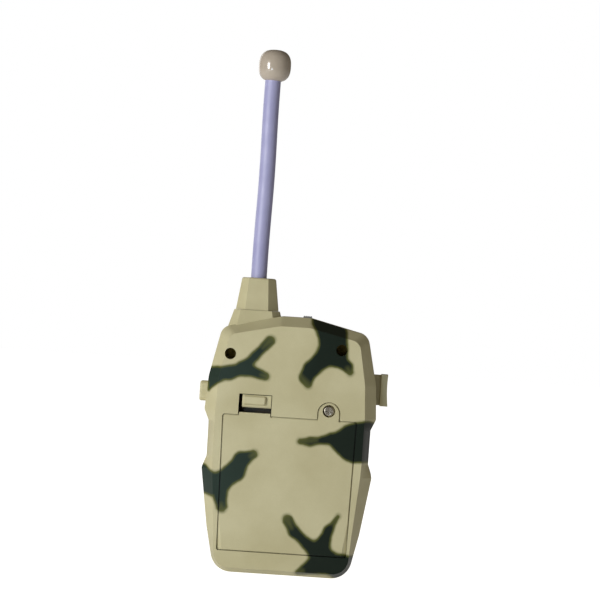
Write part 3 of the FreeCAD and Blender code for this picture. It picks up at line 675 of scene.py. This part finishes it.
@dataclass(frozen=True)
class MouldedPlastic:
    """Plain moulded plastic: one pigment, a faint drift of shade and the fine grain of its mould; where a depth is
    given, the colour below it is painted darker as painted shade in recesses.
    """

    name: str
    base: str
    shade: str
    roughness: float
    ior: float = 1.53
    grain_mm: float = 0.22
    depth_mm: float = 0.012
    drift_mm: float = 14.0
    # Optional painted shade: colour and depth below which the plastic is painted darker, for shadow in recesses.
    painted_shade: Optional[str] = None
    painted_shade_below_mm: float = 0.0
    painted_shade_fade_mm: float = 1.0

    def build(self) -> bpy.types.Material:
        """Make the material.

        Returns:
            The finished material.
        """
        material, tree, shader = new_material(self.name)
        place = object_mm(tree)
        drift = noise(tree, place, self.drift_mm, 3.0)
        tint = mixed(tree, spread(tree, drift, 0.35, 0.65, 0.0, 1.0), colour(self.base), colour(self.shade))
        # Painted shade: below the given depth the colour darkens, standing in for shadow in recesses.
        if self.painted_shade:
            depth = add(tree, "ShaderNodeSeparateXYZ", {0: place}).outputs["Y"]
            in_shade = spread(tree, depth, self.painted_shade_below_mm - self.painted_shade_fade_mm, self.painted_shade_below_mm, 1.0, 0.0)
            tint = mixed(tree, in_shade, tint, colour(self.painted_shade))
        tree.links.new(tint, shader.inputs["Base Color"])
        smudge = noise(tree, place, self.drift_mm / 2, 2.0)
        rough = spread(tree, smudge, 0.3, 0.7, self.roughness - 0.04, self.roughness + 0.04)
        tree.links.new(rough, shader.inputs["Roughness"])
        grained(tree, shader, noise(tree, place, self.grain_mm, 1.0), self.depth_mm)
        shader.inputs["IOR"].default_value = self.ior
        return material


@dataclass(frozen=True)
class PlatedMetal:
    """Plated or drawn metal: bright, with fine handling scratches and a breath of tarnish."""

    name: str
    base: str
    tarnish: str
    roughness: float

    def build(self) -> bpy.types.Material:
        """Make the material.

        Returns:
            The finished material.
        """
        material, tree, shader = new_material(self.name)
        place = object_mm(tree)
        cloud = noise(tree, place, 1.6, 3.0)
        tint = mixed(tree, spread(tree, cloud, 0.4, 0.75, 0.0, 0.8), colour(self.base), colour(self.tarnish))
        tree.links.new(tint, shader.inputs["Base Color"])
        rough = spread(tree, noise(tree, place, 0.6, 2.0), 0.3, 0.7, self.roughness - 0.08, self.roughness + 0.1)
        tree.links.new(rough, shader.inputs["Roughness"])
        grained(tree, shader, noise(tree, place, 0.15, 1.0), 0.006)
        shader.inputs["Metallic"].default_value = 1.0
        return material


@dataclass(frozen=True)
class PrintedCell:
    """AA cell in a shrunk printed sleeve: a dark body with a warm band near its positive end."""

    name: str
    dark: str
    band: str
    band_from_mm: float
    band_to_mm: float

    def build(self) -> bpy.types.Material:
        """Make the material.

        Returns:
            The finished material.
        """
        material, tree, shader = new_material(self.name)
        place = object_mm(tree)
        height = add(tree, "ShaderNodeSeparateXYZ", {0: place}).outputs["Z"]
        above = add(tree, "ShaderNodeMath", {0: height, 1: self.band_from_mm}, operation="GREATER_THAN").outputs[0]
        below = add(tree, "ShaderNodeMath", {0: height, 1: self.band_to_mm}, operation="LESS_THAN").outputs[0]
        inside = add(tree, "ShaderNodeMath", {0: above, 1: below}, operation="MULTIPLY").outputs[0]
        tint = mixed(tree, inside, colour(self.dark), colour(self.band))
        tree.links.new(tint, shader.inputs["Base Color"])
        wrinkle = noise(tree, place, 1.2, 3.0)
        tree.links.new(spread(tree, wrinkle, 0.3, 0.7, 0.18, 0.30), shader.inputs["Roughness"])
        grained(tree, shader, wrinkle, 0.02)
        shader.inputs["Metallic"].default_value = 0.35
        return material


@dataclass(frozen=True)
class WovenCloth:
    """Thin black cloth behind the speaker slots, woven at about three threads a millimetre.

    The threads are drawn at 0.5 mm so that they show.
    """

    name: str
    base: str
    thread_mm: float = 0.5

    def build(self) -> bpy.types.Material:
        """Make the material.

        Returns:
            The finished material.
        """
        material, tree, shader = new_material(self.name)
        place = object_mm(tree)
        waves = []
        for direction in ("X", "Z"):
            wave = add(tree, "ShaderNodeTexWave", {"Vector": place, "Scale": 0.31 / self.thread_mm},
                       bands_direction=direction)
            waves.append(wave.outputs["Fac"])
        weave = add(tree, "ShaderNodeMath", {0: waves[0], 1: waves[1]}, operation="MULTIPLY").outputs[0]
        tint = mixed(tree, weave, colour("#050505"), colour(self.base))
        tree.links.new(tint, shader.inputs["Base Color"])
        shader.inputs["Roughness"].default_value = 0.9
        grained(tree, shader, weave, 0.1)
        return material


def made(finish: Union[CamouflagedAbs, MouldedPlastic, PlatedMetal, PrintedCell, WovenCloth]) -> Any:
    """Dataclass field whose value is the finish's material, made when the finishes are.

    Args:
        finish: Finish to make.

    Returns:
        The field.
    """
    return field(default_factory=finish.build)


@dataclass(frozen=True)
class Finishes:
    """Every finish of the radio, built once."""

    camo_back: bpy.types.Material = made(CamouflagedAbs(
        "moulded ABS sprayed camouflage back", BACK_PATCHES, BACK_MIST))
    # The door's colour is painted darker below 13.9 mm deep: painted shade in its seams.
    camo_door: bpy.types.Material = made(CamouflagedAbs(
        "moulded ABS sprayed camouflage door", BACK_PATCHES, BACK_MIST, painted_shade_below_mm=13.9))
    camo_front: bpy.types.Material = made(CamouflagedAbs(
        "moulded ABS sprayed camouflage front", FRONT_PATCHES))
    khaki: bpy.types.Material = made(MouldedPlastic(
        "moulded khaki ABS", "#cbc49d", "#c0b890", 0.42))
    # The latch's colour is painted darker below 15.6 mm deep: painted shade at the foot of its raised pad and in
    # its channel.
    latch: bpy.types.Material = made(MouldedPlastic(
        "moulded khaki ABS with grime in its folds", "#cbc49d", "#c0b890", 0.42, painted_shade="#2f2408",
        painted_shade_below_mm=15.6, painted_shade_fade_mm=0.5))
    rod: bpy.types.Material = made(MouldedPlastic(
        "extruded soft lavender vinyl", "#a9a9cf", "#a0a0c8", 0.46, drift_mm=9.0, depth_mm=0.02))
    tip: bpy.types.Material = made(MouldedPlastic(
        "polished cream polystyrene", "#bdb1a3", "#b3a797", 0.16, ior=1.59, depth_mm=0.002))
    screw: bpy.types.Material = made(PlatedMetal(
        "nickel plated screw steel", "#b5aea0", "#6e6455", 0.28))
    dark_screw: bpy.types.Material = made(PlatedMetal(
        "darkened brass screw steel", "#63572e", "#2c2610", 0.42))
    spring: bpy.types.Material = made(PlatedMetal(
        "nickel plated spring wire", "#c9c7c2", "#8f8b84", 0.22))
    tinned: bpy.types.Material = made(PlatedMetal(
        "tinned steel", "#b9b9b6", "#8c8c88", 0.33))
    copper: bpy.types.Material = made(PlatedMetal(
        "enamelled copper wire", "#b5612f", "#7d3f1d", 0.25))
    black: bpy.types.Material = made(MouldedPlastic(
        "moulded black nylon", "#1b1b1c", "#232323", 0.5))
    white: bpy.types.Material = made(MouldedPlastic(
        "moulded white acetal", "#d9d8d2", "#cfcdc4", 0.35))
    grey: bpy.types.Material = made(MouldedPlastic(
        "moulded grey ABS", "#8f9190", "#818382", 0.45))
    board: bpy.types.Material = made(MouldedPlastic(
        "phenolic paper laminate", "#9c6a35", "#8a5a2b", 0.5, drift_mm=3.0))
    resistor: bpy.types.Material = made(MouldedPlastic(
        "lacquered resistor body", "#c8ab7c", "#b99a68", 0.3))
    ceramic: bpy.types.Material = made(MouldedPlastic(
        "dipped ceramic", "#b96a23", "#a65c1c", 0.35))
    magnet: bpy.types.Material = made(MouldedPlastic(
        "sintered ferrite", "#2b2b2d", "#1f1f20", 0.6, drift_mm=2.0))
    paper: bpy.types.Material = made(MouldedPlastic(
        "pressed black paper", "#1d1c1b", "#262422", 0.85, grain_mm=0.5, depth_mm=0.05))
    cloth: bpy.types.Material = made(WovenCloth(
        "woven black cloth", "#1a1a1a"))
    lamp: bpy.types.Material = made(MouldedPlastic(
        "red lamp epoxy", "#b01a12", "#9c140e", 0.12, depth_mm=0.001))
    cell_up: bpy.types.Material = made(PrintedCell(
        "printed cell sleeve, positive end up", "#17181c", "#9c6a2e", 46.0, 61.2))
    cell_down: bpy.types.Material = made(PrintedCell(
        "printed cell sleeve, positive end down", "#17181c", "#9c6a2e", 10.6, 25.8))


# ------------------------------------------------------------------ sub-assemblies
@dataclass
class Casing:
    """Both shells of the case with their screws."""

    finishes: Finishes
    edge_mm: float = 0.9

    def build(self) -> None:
        """Ease the shells' edges and dress them."""
        rear = eased_copy("rear_shell", "rear_case", self.edge_mm)
        finish_piece(rear, self.finishes.camo_back, Body.HOUSING, ["rear_shell"])
        front = eased_copy("front_shell", "front_case", self.edge_mm)
        finish_piece(front, self.finishes.camo_front, Body.HOUSING, ["front_shell"])
        dress("case_screws", self.finishes.dark_screw)


@dataclass
class BatteryDoor:
    """Battery door with its spring latch, captive screw and ring."""

    finishes: Finishes
    edge_mm: float = 0.3

    def build(self) -> None:
        """Ease the door's edges and dress the small parts."""
        door = eased_copy("battery_door", "door_panel", self.edge_mm)
        finish_piece(door, self.finishes.camo_door, Body.DOOR, ["battery_door"])
        latch = eased_copy("battery_door_latch", "door_latch", 0.3)
        finish_piece(latch, self.finishes.latch, Body.LATCH, ["battery_door_latch"])
        screw = eased_copy("door_screw", "door_screw_head", 0.12)
        finish_piece(screw, self.finishes.screw, Body.SCREW, ["door_screw"])
        dress("screw_retaining_ring", self.finishes.white)


@dataclass
class Aerial:
    """Collar, soft rod and barrel-shaped tip."""

    finishes: Finishes
    waver_mm: float = 0.25
    tip_bulge: float = 2.7
    tip_rings: int = 44
    tip_sides: int = 64

    def rod_tree(self) -> bpy.types.NodeTree:
        """Geometry Nodes: sweep a circle along a line that wavers a little, as a soft tube does.

        Returns:
            The tree, with the rod's ends, radius, waver and finish as inputs.
        """
        group, taken = new_tree("soft rod", {
            "Foot": "Vector", "Head": "Vector", "Radius": "Float", "Waver": "Float", "Finish": "Material"})
        line = add(group, "GeometryNodeCurvePrimitiveLine", {"Start": taken["Foot"], "End": taken["Head"]})
        steps = add(group, "GeometryNodeResampleCurve", {"Curve": line.outputs[0], "Count": 96})
        along = add(group, "GeometryNodeSplineParameter").outputs["Factor"]
        swing = add(group, "ShaderNodeMath", {0: along, 1: 7.2, 2: 0.6}, operation="MULTIPLY_ADD").outputs[0]
        sway = add(group, "ShaderNodeMath", {0: swing}, operation="SINE").outputs[0]
        half_turn = add(group, "ShaderNodeMath", {0: along, 1: math.pi}, operation="MULTIPLY").outputs[0]
        ends = add(group, "ShaderNodeMath", {0: half_turn}, operation="SINE").outputs[0]
        held = add(group, "ShaderNodeMath", {0: sway, 1: ends}, operation="MULTIPLY").outputs[0]
        aside = add(group, "ShaderNodeMath", {0: held, 1: taken["Waver"]}, operation="MULTIPLY").outputs[0]
        offset = add(group, "ShaderNodeCombineXYZ", {"X": aside}).outputs[0]
        path = add(group, "GeometryNodeSetPosition", {"Geometry": steps.outputs[0], "Offset": offset})
        ring = add(group, "GeometryNodeCurvePrimitiveCircle", {"Resolution": 48, "Radius": taken["Radius"]})
        tube = add(group, "GeometryNodeCurveToMesh", {"Curve": path.outputs[0], "Profile Curve": ring.outputs[0],
                                                      "Fill Caps": True})
        return end_tree(group, tube.outputs[0], taken["Finish"])

    def build_rod(self) -> bpy.types.Object:
        """Sweep the rod between the middles of its two ends in the CAD box.

        Returns:
            The rod.
        """
        low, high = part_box("antenna_rod")
        radius = (high.y - low.y) / 2
        piece = grown("aerial_rod", self.rod_tree(), {
            "Foot": (high.x - radius, 0.0, low.z), "Head": (low.x + radius, 0.0, high.z),
            "Radius": radius, "Waver": self.waver_mm * MM, "Finish": self.finishes.rod})
        piece.data.shade_smooth()
        return piece

    def build_tip(self) -> bpy.types.Object:
        """Turn the tip: a barrel whose shoulders follow one full curve, flatter where the rod enters.

        Returns:
            The tip.
        """
        low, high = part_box("antenna_tip")
        centre = (low + high) / 2
        radius, half = (high.x - low.x) / 2, (high.z - low.z) / 2
        profile = []
        for k in range(self.tip_rings + 1):
            a = math.pi * k / self.tip_rings
            power = 2 / self.tip_bulge
            reach = radius * math.sin(a) ** power
            rise = -half * math.copysign(abs(math.cos(a)) ** power, math.cos(a))
            profile.append((reach, centre.z + rise))
        piece = link_object("aerial_tip", turned_mesh("aerial_tip", profile, self.tip_sides))
        piece.data.transform(Matrix.Translation((centre.x, centre.y, 0)))
        return piece

    def build(self) -> None:
        """Build and dress the aerial."""
        collar = eased_copy("antenna_collar", "aerial_collar", 0.5)
        finish_piece(collar, self.finishes.khaki, Body.HOUSING, ["antenna_collar"])
        finish_piece(self.build_rod(), self.finishes.rod, Body.HOUSING, ["antenna_rod"])
        finish_piece(self.build_tip(), self.finishes.tip, Body.HOUSING, ["antenna_tip"])
        dress_all({
            "antenna_wire": self.finishes.spring, "loading_coil": self.finishes.copper})


@dataclass
class ReturnSpring:
    """Coil spring behind a side key, wound to fill its CAD box."""

    name: str
    node: str
    joint: str
    travel_mm: float
    turns: float
    seat_side: int
    wire_mm: float = 0.45

    def tree(self) -> bpy.types.NodeTree:
        """Geometry Nodes: sweep a round wire along a spiral that runs along X.

        Returns:
            The tree, with the spring's place, length, radii, turns and finish as inputs.
        """
        group, taken = new_tree("coil spring", {
            "Foot": "Vector", "Length": "Float", "Radius": "Float", "Wire": "Float", "Turns": "Float",
            "Finish": "Material"})
        spiral = add(group, "GeometryNodeCurveSpiral", {
            "Resolution": 28, "Rotations": taken["Turns"], "Start Radius": taken["Radius"],
            "End Radius": taken["Radius"], "Height": taken["Length"]})
        ring = add(group, "GeometryNodeCurvePrimitiveCircle", {"Resolution": 12, "Radius": taken["Wire"]})
        wire = add(group, "GeometryNodeCurveToMesh", {
            "Curve": spiral.outputs[0], "Profile Curve": ring.outputs[0], "Fill Caps": True})
        placed = add(group, "GeometryNodeTransform", {
            "Geometry": wire.outputs[0], "Translation": taken["Foot"], "Rotation": (0.0, math.pi / 2, 0.0)})
        return end_tree(group, placed.outputs[0], taken["Finish"])

    def build(self, finish: bpy.types.Material) -> None:
        """Wind the spring in its CAD box.

        Args:
            finish: Spring wire.
        """
        low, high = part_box(self.node)
        wire = self.wire_mm * MM
        foot = ((low.x + wire), (low.y + high.y) / 2, (low.z + high.z) / 2)
        piece = grown(self.name, self.tree(), {
            "Foot": foot, "Length": high.x - low.x - 2 * wire, "Radius": (high.y - low.y) / 2 - wire,
            "Wire": wire, "Turns": self.turns, "Finish": finish})
        piece.data.shade_smooth()
        finish_piece(piece, finish, Body.HOUSING, [self.node])
        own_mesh(piece)


@dataclass
class Controls:
    """Talk lever, call button and power switch with what they press."""

    finishes: Finishes
    springs: tuple[ReturnSpring, ...] = (
        ReturnSpring("talk_return_spring", "talk_spring", "talk_press", 2.5, 3.1, 1),
        ReturnSpring("call_return_spring", "call_spring", "call_press", 1.2, 5.3, -1))

    def build(self) -> None:
        """Ease the touch parts and dress the switches."""
        talk = eased_copy("talk_button", "talk_lever", 0.45)
        finish_piece(talk, self.finishes.khaki, Body.TALK, ["talk_button"])
        call = eased_copy("call_button", "call_key", 0.3)
        finish_piece(call, self.finishes.khaki, Body.CALL, ["call_button"])
        dress_all({
            "power_switch_knob": self.finishes.grey, "talk_switch_slider": self.finishes.white,
            "talk_switch_body": self.finishes.black, "call_switch_body": self.finishes.black,
            "power_switch_body": self.finishes.tinned})
        for spring in self.springs:
            spring.build(self.finishes.spring)


class Band(Enum):
    """Colour rings of a resistor, each with its hex colour and its place along the body in millimetres."""

    BROWN = ("#4a2410", -1.9)
    RED = ("#a3201a", -0.8)
    GOLD = ("#b08a2e", 2.0)


@dataclass
class Electronics:
    """Circuit board with its components."""

    finishes: Finishes
    columns: int = 4
    rows: int = 3
    lead_reach_mm: float = 3.7
    body_radius_mm: float = 1.1
    band_width_mm: float = 0.55
    band_proud_mm: float = 0.04

    def band_tree(self) -> bpy.types.NodeTree:
        """Geometry Nodes: one ring about the X axis on every resistor of a grid.

        Returns:
            The tree, with the grid's place, counts and steps, the ring's size and the finish as inputs.
        """
        group, taken = new_tree("resistor rings", {
            "First": "Vector", "Columns": "Int", "Rows": "Int", "Column Step": "Vector", "Row Step": "Vector",
            "Radius": "Float", "Width": "Float", "Finish": "Material"})
        across = add(group, "GeometryNodeMeshLine", {
            "Count": taken["Columns"], "Start Location": taken["First"], "Offset": taken["Column Step"]})
        up = add(group, "GeometryNodeMeshLine", {"Count": taken["Rows"], "Offset": taken["Row Step"]})
        grid = add(group, "GeometryNodeInstanceOnPoints", {"Points": across.outputs[0], "Instance": up.outputs[0]})
        places = add(group, "GeometryNodeRealizeInstances", {"Geometry": grid.outputs[0]})
        ring = add(group, "GeometryNodeMeshCylinder", {
            "Vertices": 24, "Radius": taken["Radius"], "Depth": taken["Width"]})
        rings = add(group, "GeometryNodeInstanceOnPoints", {
            "Points": places.outputs[0], "Instance": ring.outputs[0], "Rotation": (0.0, math.pi / 2, 0.0)})
        return end_tree(group, rings.outputs[0], taken["Finish"])

    def build_bands(self) -> None:
        """Paint each resistor's rings as thin lacquer sleeves."""
        low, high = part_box("resistors")
        reach, radius = self.lead_reach_mm * MM, self.body_radius_mm * MM
        step_x = (high.x - low.x - 2 * reach) / (self.columns - 1)
        step_z = (high.z - low.z - 2 * radius) / (self.rows - 1)
        tree = self.band_tree()
        for band in Band:
            shade, along_mm = band.value
            label = band.name.lower()
            lacquer = MouldedPlastic(f"{label} lacquer ring", shade, shade, 0.3, drift_mm=2.0).build()
            first = (low.x + reach + along_mm * MM, low.y + radius, low.z + radius)
            rings = grown(f"resistor_rings_{label}", tree, {
                "First": first, "Columns": self.columns, "Rows": self.rows, "Column Step": (step_x, 0.0, 0.0),
                "Row Step": (0.0, 0.0, step_z), "Radius": radius + self.band_proud_mm * MM,
                "Width": self.band_width_mm * MM, "Finish": lacquer})
            finish_piece(rings, lacquer, Body.HOUSING)

    def build(self) -> None:
        """Dress the board and its parts."""
        dress_all({
            "circuit_board": self.finishes.board, "board_screws": self.finishes.screw,
            "electrolytic_capacitors": self.finishes.black, "disc_capacitors": self.finishes.ceramic,
            "resistors": self.finishes.resistor, "transistors": self.finishes.black,
            "audio_chip": self.finishes.black, "coil_can": self.finishes.tinned,
            "crystal_can": self.finishes.tinned, "status_led": self.finishes.lamp})
        self.build_bands()


@dataclass
class Loudspeaker:
    """Small moving-coil speaker behind the front slots."""

    finishes: Finishes

    def build(self) -> None:
        """Dress the speaker."""
        dress_all({
            "speaker_frame": self.finishes.tinned, "speaker_cone": self.finishes.paper,
            "speaker_dust_cap": self.finishes.paper, "speaker_magnet": self.finishes.magnet,
            "speaker_screws": self.finishes.screw, "grille_cloth": self.finishes.cloth})


@dataclass
class Batteries:
    """Three AA cells and their contacts."""

    finishes: Finishes

    def build(self) -> None:
        """Dress the cells and the contacts."""
        dress_all({
            "battery_cell_1": self.finishes.cell_up, "battery_cell_2": self.finishes.cell_down,
            "battery_cell_3": self.finishes.cell_up, "spring_contacts": self.finishes.spring,
            "plate_contacts": self.finishes.spring})


# ------------------------------------------------------------------ studio
@dataclass
class Studio:
    """White sweep, soft lights and the camera square on to the radio's back."""

    azimuth_deg: float = 179.0
    elevation_deg: float = 0.0
    roll_deg: float = 3.71
    distance_m: float = 1.0
    target: tuple[float, float, float] = (-0.0008, 0.0, 0.11385)
    lens_mm: float = 143.8
    sensor_mm: float = 36.0

    def build_camera(self) -> None:
        """Place the camera and make it the scene's."""
        a, e = math.radians(self.azimuth_deg), math.radians(self.elevation_deg)
        forward = Vector((math.sin(a) * math.cos(e), math.cos(a) * math.cos(e), -math.sin(e)))
        data = bpy.data.cameras.new("camera")
        data.sensor_width = self.sensor_mm
        data.lens = self.lens_mm
        camera = bpy.data.objects.new("camera", data)
        bpy.context.scene.collection.objects.link(camera)
        camera.location = Vector(self.target) - forward * self.distance_m
        camera.rotation_mode = "QUATERNION"
        roll = Quaternion((0, 0, 1), math.radians(self.roll_deg))
        camera.rotation_quaternion = forward.to_track_quat("-Z", "Y") @ roll
        bpy.context.scene.camera = camera

    def build_floor(self) -> None:
        """Lay the pale floor."""
        material, tree, shader = new_material("white paper sweep")
        shader.inputs["Base Color"].default_value = (0.8, 0.8, 0.8, 1.0)
        shader.inputs["Roughness"].default_value = 1.0
        shader.inputs["Specular IOR Level"].default_value = 0.0
        shader.inputs["Emission Color"].default_value = (1.0, 1.0, 1.0, 1.0)
        seen = add(tree, "ShaderNodeLightPath").outputs["Is Camera Ray"]
        glow = add(tree, "ShaderNodeMath", {0: seen, 1: 0.72, 2: 0.28}, operation="MULTIPLY_ADD").outputs[0]
        tree.links.new(glow, shader.inputs["Emission Strength"])
        grid = bmesh.new()
        bmesh.ops.create_grid(grid, x_segments=8, y_segments=8, size=3.0)
        mesh = bpy.data.meshes.new("floor")
        grid.to_mesh(mesh)
        grid.free()
        floor = link_object("floor", mesh)
        floor.data.materials.append(material)
        floor.data.transform(Matrix.Translation((0, 0, -0.3 * MM)))

    def build_lamp(self, name: str, place: tuple[float, float, float], size_m: float, watts: float,
                   tint: tuple[float, float, float] = (1.0, 1.0, 1.0)) -> None:
        """Hang one square soft light that faces the radio.

        Args:
            name: Name of the light.
            place: Where it hangs, in metres.
            size_m: Side of the square.
            watts: Power.
            tint: Colour of its light.
        """
        data = bpy.data.lights.new(name, "AREA")
        data.size = size_m
        data.energy = watts
        data.color = tint
        lamp = bpy.data.objects.new(name, data)
        bpy.context.scene.collection.objects.link(lamp)
        lamp.location = place
        aim = Vector((0, 0, 0.08)) - Vector(place)
        lamp.rotation_mode = "QUATERNION"
        lamp.rotation_quaternion = aim.to_track_quat("-Z", "Y")

    def build_world(self) -> None:
        """White surroundings that light the radio only gently."""
        world = bpy.data.worlds.new("studio")
        world.use_nodes = True
        tree = world.node_tree
        tree.nodes.clear()
        path = add(tree, "ShaderNodeLightPath").outputs["Is Camera Ray"]
        soft = add(tree, "ShaderNodeBackground", {"Color": (1.0, 0.87, 0.66, 1), "Strength": 0.125}).outputs[0]
        white = add(tree, "ShaderNodeBackground", {"Color": (1, 1, 1, 1), "Strength": 1.0}).outputs[0]
        both = add(tree, "ShaderNodeMixShader", {0: path, 1: soft, 2: white}).outputs[0]
        add(tree, "ShaderNodeOutputWorld", {"Surface": both})
        bpy.context.scene.world = world
        bpy.context.scene.view_settings.view_transform = "Standard"

    def build(self) -> None:
        """Set up the whole studio."""
        self.build_camera()
        self.build_floor()
        self.build_world()
        self.build_lamp("key", (0.60, 0.62, 0.22), 0.20, 4.3)
        self.build_lamp("window", (0.30, 0.90, 0.06), 0.12, 0.85, (0.70, 0.86, 1.0))
        self.build_lamp("front fill", (0.5, -0.8, 0.4), 0.6, 1.6)


def main() -> None:
    """Build the radio sub-assembly by sub-assembly."""
    logging.basicConfig(level=logging.INFO, format="%(name)s: %(message)s")
    Studio().build()
    finishes = Finishes()
    for part in (Casing(finishes), BatteryDoor(finishes), Aerial(finishes), Controls(finishes),
                 Electronics(finishes), Loudspeaker(finishes), Batteries(finishes)):
        part.build()


if __name__ == "__main__":
    main()
